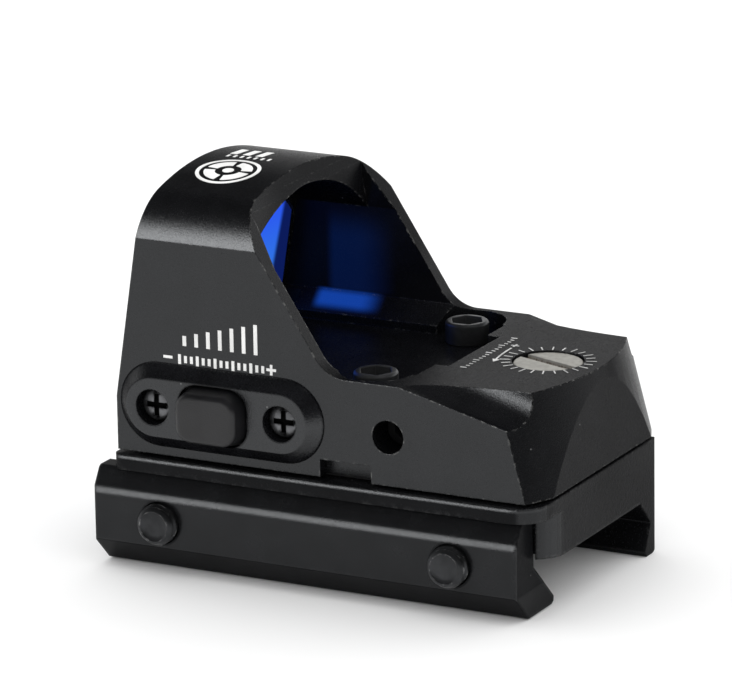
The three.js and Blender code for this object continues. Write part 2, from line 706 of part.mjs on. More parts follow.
function topContact() {
  const strap = box(-1.5, 1.5, -1, 12, BOARD.low - 0.16, BOARD.low - 0.02);
  const pad = box(-1.5, 1.5, 5, 8.2, BATTERY.high + 0.02, BOARD.low - 0.1);
  return strap.add(pad);
}

function sideContact() {
  const blade = box(-2.5, 2.5, BAY.rear + 0.04, BAY.rear + 0.22, BATTERY.low + 0.4, BOARD.low - 0.05);
  const tab = box(-2.5, 2.5, BAY.rear + 0.04, BOARD.rear + 1.2, BOARD.low - 0.19, BOARD.low - 0.05);
  return blade.add(tab);
}

// ---------------------------------------------------------------- emitter
function emitterBlock() {
  const body = box(-BLOCK.halfWidth, BLOCK.halfWidth, BLOCK.rear, BLOCK.front, BLOCK.low, BLOCK.high);
  const { halfWidth, rear, front } = BLOCK_SLOT;
  const slot = box(-halfWidth, halfWidth, rear, front, BLOCK.floor, BLOCK.high + 1);
  const line = [0, WINDAGE.y, WINDAGE.z];
  const bore = rod(BLOCK_BORE.radius, BLOCK_BORE.end, BLOCK.halfWidth + 1, 'x', line, 24);
  return cut(body, slot, bore);
}

function emitterCarriage() {
  const { halfWidth, rear, front, low, high } = CARRIAGE;
  const nose = box(
    -CARRIAGE_NOSE.halfWidth,
    CARRIAGE_NOSE.halfWidth,
    front - 0.5,
    CARRIAGE_NOSE.front,
    CARRIAGE_NOSE.low,
    high,
  );
  const body = box(-halfWidth, halfWidth, rear, front, low, high).add(nose);
  const { halfX, halfY } = SHANK_SLOT;
  const shank = box(-halfX, halfX, DIAL.y - halfY, DIAL.y + halfY, low - 1, high + 1);
  const nutSlot = box(
    -halfWidth - 1,
    halfWidth + 1,
    NUT.rear - NUT_GAP,
    NUT.front + NUT_GAP,
    NUT.low - NUT_GAP,
    NUT.high + NUT_GAP,
  );
  return cut(body, shank, nutSlot);
}

function elevationNut() {
  const body = box(-NUT.halfX, NUT.halfX, NUT.rear, NUT.front, NUT.low, NUT.high);
  return body.subtract(rod(DIAL.shank + 0.06, NUT.low - 1, NUT.high + 1, 'z', [0, DIAL.y, 0], 24));
}

function emitterLed() {
  const { halfWidth, rear, front, low, high, dome } = LED;
  const chip = box(-halfWidth, halfWidth, rear + 0.02, front, low, high);
  const middle = (low + high) / 2;
  const cap = turned([[0, front - 0.05], [dome, front - 0.05], [dome * 0.7, front + 0.08], [0, front + 0.12]],
    'y', [0, 0, middle], 16);
  return chip.add(cap);
}

function emitterWindow() {
  const { halfWidth, rear, front, low, high } = WINDOW_PANE;
  return box(-halfWidth, halfWidth, rear, front, low, high);
}

// ---------------------------------------------------------------- adjusters
function elevationDial() {
  const { head, headLow, headTop, boss, bossLow, shank, shankLow, slotWidth, slotDepth } = DIAL;
  const profile = [
    [0, shankLow],
    [shank - 0.2, shankLow],
    [shank, shankLow + 0.2],
    [shank, bossLow],
    [boss, bossLow],
    [boss, headLow],
    [head, headLow],
    [head, headTop - 0.1],
    [head - 0.1, headTop],
    [0, headTop],
  ];
  const body = turned(profile, 'z', [0, DIAL.y, 0], FINE_SEGMENTS);
  const slot = new THREE.BoxGeometry(slotWidth, 2 * head + 2, slotDepth + 1);
  slot.rotateZ(DIAL_TURN);
  slot.translate(0, DIAL.y, headTop + (1 - slotDepth) / 2);
  return body.subtract(toSolid(slot));
}

function dialSeal() {
  return ring(DIAL_SEAL.major, DIAL_SEAL.minor, 'z', [0, DIAL.y, DIAL_SEAL.centre]);
}

function liftSpring() {
  const { radius, wire, from, to, turns } = LIFT_SPRING;
  const geometry = coilGeometry(radius, wire, to - from, turns);
  geometry.translate(0, LIFT_SPRING.y, LIFT_SPRING.from);
  return toSolid(geometry);
}

function windageScrew() {
  const { y, z, head, headInner, headOuter, shank, shankInner, slotWidth, slotDepth } = WINDAGE;
  const profile = [
    [0, shankInner],
    [shank - 0.2, shankInner],
    [shank, shankInner + 0.2],
    [shank, headInner],
    [head, headInner],
    [head, headOuter - 0.1],
    [head - 0.1, headOuter],
    [0, headOuter],
  ];
  const body = turned(profile, 'x', [0, y, z]);
  const half = slotWidth / 2;
  const slot = box(headOuter - slotDepth, headOuter + 1, y - half, y + half, z - head - 1, z + head + 1);
  return body.subtract(slot);
}

function windageSeal() {
  return ring(WINDAGE_SEAL.major, WINDAGE_SEAL.minor, 'x', [WINDAGE_SEAL.centre, WINDAGE.y, WINDAGE.z]);
}

function windageSpring() {
  const { from, to, radius, wire, turns } = WINDAGE_SPRING;
  const geometry = coilGeometry(radius, wire, to - from, turns);
  geometry.rotateY(Math.PI / 2);
  geometry.translate(from, WINDAGE.y, WINDAGE.z);
  return toSolid(geometry);
}

function springPlug() {
  const { radius, outer, inner, hex, hexDepth } = SPRING_PLUG;
  const origin = [0, WINDAGE.y, WINDAGE.z];
  const body = rod(radius, outer, inner, 'x', origin, 24);
  return body.subtract(hexagon(2 * hex, outer - 1, outer + hexDepth, 'x', origin));
}

// ---------------------------------------------------------------- fasteners
function mountScrew(side) {
  const { x, y, head, shank, tip, hex, hexDepth } = MOUNT_SCREW;
  const low = HOOD_FLOOR + 0.02;
  const profile = [
    [0, tip],
    [shank - 0.2, tip],
    [shank, tip + 0.2],
    [shank, low],
    [head, low],
    [head, DECK - 0.2],
    [head - 0.2, DECK],
    [0, DECK],
  ];
  const origin = [side * x, y, 0];
  return turned(profile, 'z', origin).subtract(hexagon(2 * hex, DECK - hexDepth, DECK + 1, 'z', origin));
}

function locatingPin(side) {
  const { radius, low, high } = PIN;
  const profile = [
    [0, low],
    [radius - 0.2, low],
    [radius, low + 0.2],
    [radius, high - 0.3],
    [radius - 0.3, high],
    [0, high],
  ];
  return turned(profile, 'z', [side * PIN.x, PIN.y, 0], 20);
}

function baseGasket() {
  const { inset, low, high, left, right, corner } = GASKET;
  const length = FRONT - REAR - 2 * inset;
  const plan = roundedRectangle((left + right) / 2, (REAR + FRONT) / 2, right - left, length, corner);
  const holes = [-1, 1].map((side) => {
    return rod(MOUNT_SCREW.shank + 0.3, low - 1, high + 1, 'z', [side * MOUNT_SCREW.x, MOUNT_SCREW.y, 0], 20);
  });
  return cut(alongZ(plan, low, high), ...holes, ...pinHoles(low - 1, high + 1));
}

// ---------------------------------------------------------------- rail clamp
function baseSection() {
  const bead = 0.5;
  const foot = 1.1;
  const shape = new THREE.Shape();
  shape.moveTo(BASE_LEFT + bead, BASE_TOP);
  shape.lineTo(BASE_RIGHT - 0.25, BASE_TOP);
  shape.lineTo(BASE_RIGHT, BASE_TOP - 0.25);
  shape.lineTo(BASE_RIGHT, BASE_BOTTOM + foot);
  shape.absarc(BASE_RIGHT - foot, BASE_BOTTOM + foot, foot, 0, -Math.PI / 2, true);
  shape.lineTo(CHANNEL_LIP.x + 0.4, BASE_BOTTOM);
  shape.lineTo(CHANNEL_LIP.x, CHANNEL_LIP.z);
  shape.lineTo(CHANNEL_WIDEST.x, CHANNEL_WIDEST.z);
  shape.lineTo(SEAT_HALF_WIDTH, 0);
  shape.lineTo(BASE_LEFT, 0);
  shape.lineTo(BASE_LEFT, BASE_TOP - bead);
  shape.absarc(BASE_LEFT + bead, BASE_TOP - bead, bead, Math.PI, Math.PI / 2, true);
  shape.closePath();
  return shape;
}

// plan of the base: nearly square on the right, rounded corners on the left
function basePlan(left) {
  const small = 0.6;
  const shape = new THREE.Shape();
  shape.absarc(BASE_RIGHT - small, BASE_FRONT - small, small, 0, Math.PI / 2, false);
  const tight = BASE_FRONT_CORNER;
  shape.absarc(left + tight, BASE_FRONT - tight, tight, Math.PI / 2, Math.PI, false);
  shape.absarc(left + BASE_CORNER, BASE_REAR + BASE_CORNER, BASE_CORNER, Math.PI, 3 * Math.PI / 2, false);
  shape.absarc(BASE_RIGHT - small, BASE_REAR + small, small, 3 * Math.PI / 2, 2 * Math.PI, false);
  shape.closePath();
  return shape;
}

function railBase() {
  const section = alongY(baseSection(), BASE_REAR, BASE_FRONT);
  const flange = alongZ(basePlan(BASE_LEFT), FLANGE_LOW, BASE_TOP + 1);
  const block = alongZ(basePlan(BLOCK_LEFT), BASE_BOTTOM - 1, FLANGE_LOW + 0.5);
  const body = section.intersect(flange.add(block));
  const { x, rear } = BAR_POCKET;
  const pocket = box(BASE_LEFT - 5, x, rear, BASE_FRONT + 5, BASE_BOTTOM - 1, FLANGE_LOW);
  const relief = box(BASE_LEFT - 5, -SEAT_HALF_WIDTH, rear, BASE_FRONT + 5, BASE_BOTTOM - 1, SEAT_RELIEF);
  const bores = [-1, 1].map((side) => {
    const origin = [0, side * CLAMP_SCREW.spacing / 2, CLAMP_SCREW.z];
    return rod(CLAMP_SCREW.bore, BASE_LEFT - 5, BASE_RIGHT + 5, 'x', origin);
  });
  const taps = [-1, 1].map((side) => {
    const origin = [side * MOUNT_SCREW.x, MOUNT_SCREW.y, 0];
    return rod(MOUNT_SCREW.shank + 0.06, MOUNT_SCREW.tip - 0.1, BASE_TOP + 1, 'z', origin);
  });
  return cut(body, pocket, relief, ...bores, ...taps, ...pinHoles(PIN.low - 0.1, BASE_TOP + 1));
}

function barSection() {
  const shape = polygon([
    [-14.49, -2.84],
    [-11.95, -5.4],
    [-7.15, -5.42],
    [-6.78, -5.2],
    [-6.7, -4.78],
    [-10.9, -0.8],
    [-10.9, 3.6],
    [-11.25, 3.95],
    [-13.05, 3.95],
    [-13.35, 3.75],
    [-14.3, 2.2],
    [-14.49, 1.6],
  ]);
  return shape;
}

function clampBar() {
  const body = alongY(barSection(), BAR.rear, BAR.front);
  const plan = roundedRectangle(-10.5, (BAR.rear + BAR.front) / 2, 8, BAR.front - BAR.rear, BAR.corner);
  const bores = [-1, 1].map((side) => {
    return rod(CLAMP_SCREW.bore, -20, -5, 'x', [0, side * CLAMP_SCREW.spacing / 2, CLAMP_SCREW.z]);
  });
  return cut(body.intersect(alongZ(plan, -10, 10)), ...bores);
}

function clampScrew(y) {
  const { z, shank, tip, tipChamfer, headInner, headOuter, head, hex, hexDepth } = CLAMP_SCREW;
  const profile = [
    [0, tip],
    [shank - tipChamfer, tip],
    [shank, tip + tipChamfer],
    [shank, headInner],
    [head, headInner],
    [head, headOuter - 0.35],
    [head - 0.35, headOuter],
    [0, headOuter],
  ];
  const origin = [0, y, z];
  const body = turned(profile, 'x', origin);
  return body.subtract(hexagon(2 * hex, headOuter - hexDepth, headOuter + 1, 'x', origin));
}

// ---------------------------------------------------------------- assembly
const finder = new THREE.Group();
finder.name = 'reflex_finder';

function place(name, solid, material) {
  const mesh = new THREE.Mesh(toGeometry(solid), material);
  mesh.name = name;
  finder.add(mesh);
}

place('housing', housing(), anodised());
place('lens', lens(), coatedGlass());
place('lens_seal', lensSeal(), sealant());
place('control_pad', controlPad(), blackRubber());
place('pad_screw_front', padScrew(PAD_SCREW.front), blackSteel());
place('pad_screw_rear', padScrew(PAD_SCREW.rear), blackSteel());
place('brightness_button', brightnessButton(), blackRubber());
place('switch_body', switchBody(), switchResin());
place('switch_plunger', switchPlunger(), switchCap());
place('circuit_board', circuitBoard(), boardGreen());
place('battery', battery(), cellSteel());
place('battery_contact_top', topContact(), contactCopper());
place('battery_contact_side', sideContact(), contactCopper());
place('emitter_block', emitterBlock(), brass());
place('emitter_carriage', emitterCarriage(), brass());
place('elevation_nut', elevationNut(), brightSteel());
place('emitter_led', emitterLed(), ledResin());
place('emitter_window', emitterWindow(), clearGlass());
place('elevation_dial', elevationDial(), brightSteel());
place('elevation_seal', dialSeal(), gasketRubber());
place('elevation_spring', liftSpring(), springSteel());
place('windage_screw', windageScrew(), blackSteel());
place('windage_seal', windageSeal(), gasketRubber());
place('windage_spring', windageSpring(), springSteel());
place('windage_plug', springPlug(), blackSteel());
place('mounting_screw_left', mountScrew(-1), blackSteel());
place('mounting_screw_right', mountScrew(1), blackSteel());
place('base_gasket', baseGasket(), gasketRubber());
place('locating_pin_left', locatingPin(-1), springSteel());
place('locating_pin_right', locatingPin(1), springSteel());
place('rail_base', railBase(), anodised());
place('clamp_bar', clampBar(), clampFinish());
place('clamp_screw_front', clampScrew(CLAMP_SCREW.spacing / 2), blackSteel());
place('clamp_screw_rear', clampScrew(-CLAMP_SCREW.spacing / 2), blackSteel());

export default finder;
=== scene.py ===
import math

import bmesh
import bpy
from mathutils import Matrix, Vector


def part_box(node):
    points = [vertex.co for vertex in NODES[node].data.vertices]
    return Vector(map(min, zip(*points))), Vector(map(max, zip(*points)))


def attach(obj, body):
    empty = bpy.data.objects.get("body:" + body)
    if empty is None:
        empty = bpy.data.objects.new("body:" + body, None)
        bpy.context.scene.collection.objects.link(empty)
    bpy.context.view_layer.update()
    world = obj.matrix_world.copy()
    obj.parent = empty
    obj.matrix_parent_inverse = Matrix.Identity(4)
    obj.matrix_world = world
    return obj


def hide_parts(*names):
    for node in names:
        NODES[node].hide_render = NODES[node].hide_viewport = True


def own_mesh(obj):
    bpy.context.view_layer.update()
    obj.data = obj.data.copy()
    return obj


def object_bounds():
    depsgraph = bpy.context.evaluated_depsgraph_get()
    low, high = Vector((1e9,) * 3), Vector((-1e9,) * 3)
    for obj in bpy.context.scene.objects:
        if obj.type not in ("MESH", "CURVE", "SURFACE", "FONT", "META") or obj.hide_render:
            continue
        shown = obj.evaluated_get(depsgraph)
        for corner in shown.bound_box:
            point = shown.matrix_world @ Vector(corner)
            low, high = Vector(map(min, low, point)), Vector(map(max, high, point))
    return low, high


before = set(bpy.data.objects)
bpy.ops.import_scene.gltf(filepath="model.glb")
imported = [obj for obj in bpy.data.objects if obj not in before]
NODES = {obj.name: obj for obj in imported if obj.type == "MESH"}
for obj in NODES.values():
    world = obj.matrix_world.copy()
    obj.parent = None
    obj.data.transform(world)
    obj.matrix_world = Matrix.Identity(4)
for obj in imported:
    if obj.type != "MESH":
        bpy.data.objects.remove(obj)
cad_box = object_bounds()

MM = 0.001

# ------------------------------------------------------------------ where things are (mm)
CAMERA_PLACE = (-434.86, -227.45, 154.27)
CAMERA_YAW, CAMERA_PITCH, CAMERA_ROLL = -62.32, -15.82, -0.91
CAMERA_LENS = 270.49
CAMERA_SENSOR = 36
CAMERA_SHIFT = (-0.00113, -0.0013)

SIDE_X = -13.48
DECK_Z = 15.28
DIAL_Y = -18.0
MARK_HEIGHT = 0.035
MARK_SINK = 0.03
CROWN = {"radius": 33.2, "top": 31.18, "edge": 8.86}
PAD_SCREW_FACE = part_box("pad_screw_front")[0].x / MM
BUTTON_CENTRE = (9.05, 10.55)
CLAMP_SCREW_TIP = -15.75
CLAMP_SCREW_SHANK = 1.95
CLAMP_SCREW_THREAD_END = -10.6
CLAMP_SCREW_HEAD = {"inner": 11.6, "outer": 13.9, "radius": 3.4, "hex": 1.5, "depth": 1.5}

# ------------------------------------------------------------------ settings shared by the tools
WELD_DISTANCE = 0.002
EDGE_SEGMENTS = 2
EDGE_ANGLE = 35.0
EDGE_SAMPLES = 4
COOL_SHEEN = (0.95, 0.975, 1.0, 1)
DUST = (0.25, 0.25, 0.25, 1)
# colour of the painted shade in recesses
PIT = (0.002, 0.002, 0.002, 1)


# ------------------------------------------------------------------ mesh tools
def add_object(name, bm, body, node=None):
    """A mesh object made from bm, riding on a body and standing for a CAD node if one is named."""
    bmesh.ops.recalc_face_normals(bm, faces=bm.faces)
    mesh = bpy.data.meshes.new(name)
    bm.to_mesh(mesh)
    bm.free()
    piece = bpy.data.objects.new(name, mesh)
    bpy.context.scene.collection.objects.link(piece)
    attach(piece, body)
    if node:
        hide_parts(node)
    return piece


def shade_smooth(piece):
    for polygon in piece.data.polygons:
        polygon.use_smooth = True


def split_edges(piece, angle):
    """Smooth shading that breaks at edges sharper than the angle."""
    shade_smooth(piece)
    sharp = piece.modifiers.new("sharp", "EDGE_SPLIT")
    sharp.split_angle = math.radians(angle)


def soften(piece, width):
    """Real rounded edges, with normals that keep the flat faces flat."""
    shade_smooth(piece)
    bevel = piece.modifiers.new("edges", "BEVEL")
    bevel.width = width * MM
    bevel.segments = EDGE_SEGMENTS
    bevel.limit_method = "ANGLE"
    bevel.angle_limit = math.radians(EDGE_ANGLE)
    bevel.use_clamp_overlap = False
    bevel.miter_outer = "MITER_ARC"
    normals = piece.modifiers.new("normals", "WEIGHTED_NORMAL")
    normals.keep_sharp = True
    normals.weight = 80
    return piece


def node_copy(node):
    """Mesh of a CAD node with its shared corners merged."""
    bm = bmesh.new()
    bm.from_mesh(NODES[node].data)
    bmesh.ops.remove_doubles(bm, verts=bm.verts, dist=WELD_DISTANCE * MM)
    return bm


def refined(node, body, width):
    """Copy of a CAD node with its flat faces merged and its edges rounded."""
    bm = node_copy(node)
    bmesh.ops.dissolve_limit(bm, angle_limit=math.radians(0.6), verts=bm.verts, edges=bm.edges)
    return soften(add_object(node + "_shown", bm, body, node), width)


def welded(node, body, sharp_angle=11.0):
    """Copy of a CAD node with shared corners, smooth where its facets belong to one curve."""
    bm = node_copy(node)
    limit = math.radians(sharp_angle)
    for face in bm.faces:
        face.smooth = True
    for edge in bm.edges:
        edge.smooth = len(edge.link_faces) == 2 and edge.calc_face_angle() < limit
    return add_object(node + "_shown", bm, body, node)


def join_rings(bm, low, high):
    """Faces between two rings of corners."""
    for i in range(len(low)):
        j = (i + 1) % len(low)
        bm.faces.new((low[i], low[j], high[j], high[i]))


def prism(bm, corners, place):
    """A thin raised patch: corners are (a, b) pairs and place puts (a, b, lift) on a surface."""
    low = [bm.verts.new(place(a, b, -MARK_SINK)) for a, b in corners]
    high = [bm.verts.new(place(a, b, MARK_HEIGHT)) for a, b in corners]
    bm.faces.new(high)
    bm.faces.new(list(reversed(low)))
    join_rings(bm, low, high)


def on_side(a, b, lift):
    return Vector((SIDE_X - lift, a, b)) * MM


def on_deck(a, b, lift):
    return Vector((a, b, DECK_Z + lift)) * MM


def on_crown(a, b, lift):
    """a is the distance from the middle of the hood measured across its crown."""
    turn = a / CROWN["radius"]
    reach = CROWN["radius"] + lift
    z = CROWN["top"] - CROWN["radius"] + reach * math.cos(turn)
    return Vector((reach * math.sin(turn), b, z)) * MM


def rectangle(a0, a1, b0, b1):
    return [(a0, b0), (a1, b0), (a1, b1), (a0, b1)]


def stroke(start, end, width):
    """Corners of a straight stroke of a given width."""
    d = Vector(end) - Vector(start)
    side = Vector((-d.y, d.x)).normalized() * width / 2
    s, e = Vector(start), Vector(end)
    return [tuple(s - side), tuple(e - side), tuple(e + side), tuple(s + side)]


def arc_band(bm, centre, inner, outer, start, end, steps, place):
    """A piece of a flat ring, made of short prisms that follow the surface."""
    for i in range(steps):
        t0 = math.radians(start + (end - start) * i / steps)
        t1 = math.radians(start + (end - start) * (i + 1) / steps)
        corners = [
            (centre[0] + r * math.cos(t), centre[1] + r * math.sin(t))
            for r, t in ((inner, t0), (outer, t0), (outer, t1), (inner, t1))
        ]
        prism(bm, corners, place)


def rings_to_mesh(bm, rings):
    """Skins a list of rings with the same number of points each, and closes both ends."""
    made = [[bm.verts.new(p) for p in ring] for ring in rings]
    for low, high in zip(made, made[1:]):
        join_rings(bm, low, high)
    bm.faces.new(list(reversed(made[0])))
    bm.faces.new(made[-1])


def rounded_outline(length, height, corner, steps=8):
    """Points of a rounded rectangle about the origin."""
    points = []
    for k, (sa, sb) in enumerate(((1, 1), (-1, 1), (-1, -1), (1, -1))):
        for i in range(steps + 1):
            turn = math.radians(90 * k + 90 * i / steps)
            a = sa * (length / 2 - corner) + corner * math.cos(turn)
            b = sb * (height / 2 - corner) + corner * math.sin(turn)
            points.append((a, b))
    return points


# ------------------------------------------------------------------ material tools
class Nodes:
    """Adds shader nodes to one tree and links them."""

    def __init__(self, tree):
        self.tree = tree
        tree.nodes.clear()

    def add(self, kind, inputs=None, **settings):
        node = self.tree.nodes.new(kind)
        for key, value in settings.items():
            setattr(node, key, value)
        for key, value in (inputs or {}).items():
            self.put(node.inputs[key], value)
        return node

    def put(self, socket, value):
        if isinstance(value, bpy.types.NodeSocket):
            self.tree.links.new(value, socket)
        else:
            socket.default_value = value

    def maths(self, operation, a, b=0.0, clamp=False):
        node = self.add("ShaderNodeMath", {0: a, 1: b}, operation=operation, use_clamp=clamp)
        return node.outputs[0]

    def ramp(self, value, low, high, to_low=0.0, to_high=1.0):
        """Smooth step of value from low to high."""
        node = self.add("ShaderNodeMapRange", {0: value, 1: low, 2: high, 3: to_low, 4: to_high},
                        interpolation_type="SMOOTHSTEP")
        return node.outputs[0]

    def mix(self, factor, a, b, blend="MIX"):
        node = self.add("ShaderNodeMix", data_type="RGBA", blend_type=blend)
        self.put(node.inputs[0], factor)
        self.put(node.inputs[6], a)
        self.put(node.inputs[7], b)
        return node.outputs[2]

    def noise(self, place, scale, detail=2.0, roughness=0.5):
        settings = {"Vector": place, "Scale": scale, "Detail": detail, "Roughness": roughness}
        return self.add("ShaderNodeTexNoise", settings).outputs[0]

    def product(self, *factors):
        total = factors[0]
        for factor in factors[1:]:
            total = self.maths("MULTIPLY", total, factor)
        return total

    def falling(self, value, low, high):
        """1 below low, 0 above high."""
        return self.ramp(value, low, high, 1.0, 0.0)

    def between(self, value, rise, fall):
        """1 within a range with soft ends, each given as a (low, high) pair."""
        return self.product(self.ramp(value, *rise), self.falling(value, *fall))

    def axes(self, vector):
        return self.add("ShaderNodeSeparateXYZ", {0: vector}).outputs

    def vector_maths(self, operation, inputs, output=0):
        node = self.add("ShaderNodeVectorMath", inputs, operation=operation)
        return node.outputs[output]

    def slant(self):
        """0 where a face is seen square on, 1 where it is seen edge on."""
        return self.add("ShaderNodeLayerWeight", {0: 0.5}).outputs["Facing"]

    def rounded(self, radius):
        """Normal that rounds the edges to a radius in millimetres."""
        inputs = {"Radius": radius * MM}
        return self.add("ShaderNodeBevel", inputs, samples=EDGE_SAMPLES).outputs[0]

    def face_normal(self):
        return self.add("ShaderNodeNewGeometry").outputs["Normal"]

    def end(self, result, kind="ShaderNodeOutputMaterial"):
        self.put(self.add(kind).inputs[0], result)


def new_material(name):
    material = bpy.data.materials.new(name)
    material.use_nodes = True
    return material, Nodes(material.node_tree)


def millimetres(n, stretch=(1.0, 1.0, 1.0)):
    """Object coordinates in millimetres, stretched along an axis if asked."""
    place = n.add("ShaderNodeTexCoord").outputs["Object"]
    scale = [1.0 / MM * s for s in stretch]
    return n.add("ShaderNodeMapping", {"Vector": place, "Scale": scale}).outputs[0]


def scaled(colour, factor):
    return tuple(c * factor for c in colour) + (1,)


def edge_wear(n, place, edge, wear, shelter):
    """How far the finish is rubbed off: chips along open edges, none in sheltered corners."""
    wide = n.rounded(2.2 * edge)
    facing = n.vector_maths("DOT_PRODUCT", {0: wide, 1: n.face_normal()}, "Value")
    near = n.ramp(n.maths("SUBTRACT", 1.0, facing), 0.03, 0.14)
    chips = n.ramp(n.noise(place, 1.7, 5.0, 0.7), 0.50, 0.64)
    rub = n.maths("MULTIPLY", n.product(near, chips), wear, clamp=True)
    open_air = n.add("ShaderNodeAmbientOcclusion", {"Distance": 7.0 * MM}, samples=EDGE_SAMPLES)
    return n.product(rub, n.ramp(open_air.outputs["AO"], *shelter))


def dust_specks(n, place, amount):
    """Sparse round specks, one in some of the cells."""
    cells = n.add("ShaderNodeTexVoronoi", {"Vector": place, "Scale": 0.62, "Randomness": 1.0})
    dot = n.falling(cells.outputs["Distance"], 0.03, 0.06)
    pick = n.add("ShaderNodeSeparateColor", {0: cells.outputs["Color"]}).outputs[0]
    return n.product(dot, n.ramp(pick, 0.72, 0.9), amount)


def finish(name, colour, roughness, metallic=0.0, specular=0.5, mottle=0.18, grain=(9.0, 0.004),
           brush=None, edge=0.1, wear=0.0, worn=(0.2, 0.2, 0.2), specks=0.0, coat=0.0,
           recess=None, shy=False, shelter=(0.45, 0.8), sparkle=0.0, paint_light_and_shade=None):
    """A procedural surface with mottled colour, uneven gloss and fine grain.

    grain is (fineness, depth). brush stretches lines along an axis. edge is the radius of rounded
    edges, and wear, worn and shelter say how much they are rubbed, to which colour and where.
    recess paints shade over what lies deeper than a place along X. shy fades the shine on slanted
    faces.
    The last argument is a function that paints extra light and shade into the shader.
    """
    material, n = new_material(name)
    place = millimetres(n)
    cloud = n.noise(place, 0.35, 3.0)
    patch = n.noise(place, 2.2, 3.0)
    dark, light = scaled(colour, 1 - mottle), scaled(colour, 1 + mottle)
    base = n.mix(n.ramp(cloud, 0.3, 0.7), dark, light)
    unevenness = 0.05
    gloss = n.maths("ADD", roughness - unevenness, n.product(patch, 2 * unevenness))
    fine = n.noise(place, grain[0], 2.0, 0.6)
    gloss = n.maths("ADD", gloss, n.product(n.maths("SUBTRACT", fine, 0.5), sparkle))
    height = fine
    if brush:
        lines = n.noise(millimetres(n, brush), 6.0, 2.0, 0.6)
        height = n.maths("ADD", n.product(fine, 0.5), n.product(lines, 0.8))
    if wear > 0:
        rub = edge_wear(n, place, edge, wear, shelter)
        base = n.mix(rub, base, worn + (1,))
        gloss = n.maths("ADD", gloss, n.product(rub, -0.08))
    if specks > 0:
        base = n.mix(dust_specks(n, place, specks), base, DUST)
    shine = specular
    if shy:
        shine = n.product(specular, n.ramp(n.slant(), 0.2, 0.62, 1.0, 0.035))
    # Painted shade: what lies deeper than recess along X turns near black and rough.
    if recess:
        sunk = n.ramp(n.axes(place)[0], recess, recess + 0.12)
        base = n.mix(sunk, base, PIT)
        gloss = n.maths("MAXIMUM", gloss, n.product(sunk, 0.8))
    bump = n.add("ShaderNodeBump", {"Height": height, "Distance": grain[1] * MM, "Strength": 1.0,
                                    "Normal": n.rounded(edge)}).outputs[0]
    shader = n.add("ShaderNodeBsdfPrincipled", {
        "Base Color": base, "Roughness": gloss, "Metallic": metallic, "Normal": bump,
        "Specular IOR Level": shine, "Coat Weight": coat, "Coat Roughness": 0.2})
    if shy:
        n.put(shader.inputs["Specular Tint"], COOL_SHEEN)
    if paint_light_and_shade:
        paint_light_and_shade(n, place, shader, shine)
    n.end(shader.outputs[0])
    return material


def dim(n, shader, shine, shade):
    """Takes a share of the shine away, as painted shade."""
    n.put(shader.inputs["Specular IOR Level"], n.product(shine, n.maths("SUBTRACT", 1.0, shade)))


def painted_lens_light_and_shade(n, place, shader, shine):
    """Painted blue light, standing in for light through the coated lens, given off by the right
    wall; and painted shade that takes shine off that wall, the hood mouth, the crown and the rear.
    """
    x, y, z = n.axes(place)
    way = n.axes(n.face_normal())
    facing = n.falling(way[0], -0.9, -0.4)
    inside = n.product(n.between(x, (10.0, 10.3), (12.2, 12.4)), facing)
    # Painted light: a faint blue light given off by the right wall and a brighter strip along its
    # foot.
    strip = n.product(n.between(z, (14.1, 14.9), (15.4, 16.1)),
                      n.between(y, (4.6, 7.4), (11.3, 12.4)))
    wall = n.product(n.between(z, (15.8, 16.2), (20.8, 24.4)),
                     n.between(y, (3.4, 8.0), (10.2, 11.3)))
    amount = n.maths("ADD", n.product(strip, 0.50), n.product(wall, 0.035))
    n.put(shader.inputs["Emission Color"], (0.014, 0.14, 1.0, 1))
    n.put(shader.inputs["Emission Strength"], n.product(amount, inside))

    # Painted shade: masks where the shine is cut on the hood mouth, the crown and the rear.
    mouth = n.product(n.falling(way[1], -0.6, -0.3), n.ramp(y, 0.0, 2.0),
                      n.ramp(z, 17.0, 19.0), n.ramp(x, -10.0, -4.0))
    crown = n.product(n.ramp(way[2], 0.75, 0.9), n.ramp(z, 26.0, 27.0))
    rear = n.product(n.ramp(way[2], 0.1, 0.2), n.falling(way[1], -0.65, -0.5),
                     n.falling(y, -16.0, -14.0), n.falling(x, -6.0, 8.0))
    outer = n.maths("MAXIMUM", n.product(mouth, 0.6),
                    n.product(n.maths("MAXIMUM", crown, rear), 0.7))
    dim(n, shader, shine, n.maths("MAXIMUM", n.product(inside, 0.8), outer))


def flange_shade(n, place, shader, shine):
    """The left flange of the base sits in the shade of the body above it."""
    x, _, z = n.axes(place)
    side = n.product(n.ramp(x, -14.3, -14.1, 0.8, 0.3), n.falling(z, 5.1, 5.3),
                     n.falling(x, -11.3, -10.3))
    dim(n, shader, shine, side)


def painted_lower_highlight(n, place, shader, shine):
    """Painted highlight: the slope under the clamp bar gets more shine than its face."""
    gain = n.ramp(n.axes(place)[2], -3.1, -2.7, 2.4, 1.0)
    n.put(shader.inputs["Specular IOR Level"], n.product(shine, gain))


def painted_blue_reflection(n, place):
    """Painted blue reflection that gives off its own light, standing in for the blue the lens
    coating sends back, turning dark in a band along its right edge.
    """
    x, _, z = n.axes(place)
    colour = n.mix(n.ramp(z, 17.0, 26.0), (0.033, 0.195, 0.84, 1), (0.028, 0.10, 0.95, 1))
    # The painted reflection turns dark in a band along the right edge.
    rim = n.maths("ADD", x, n.product(n.maths("SUBTRACT", 26.0, z), 0.12))
    colour = n.mix(n.ramp(rim, 9.2, 10.2), colour, (0.004, 0.012, 0.11, 1))
    spill = n.add("ShaderNodeLightPath").outputs["Is Diffuse Ray"]
    power = n.maths("SUBTRACT", 0.95, n.product(spill, 0.8))
    return n.add("ShaderNodeEmission", {"Color": colour, "Strength": power}).outputs[0]


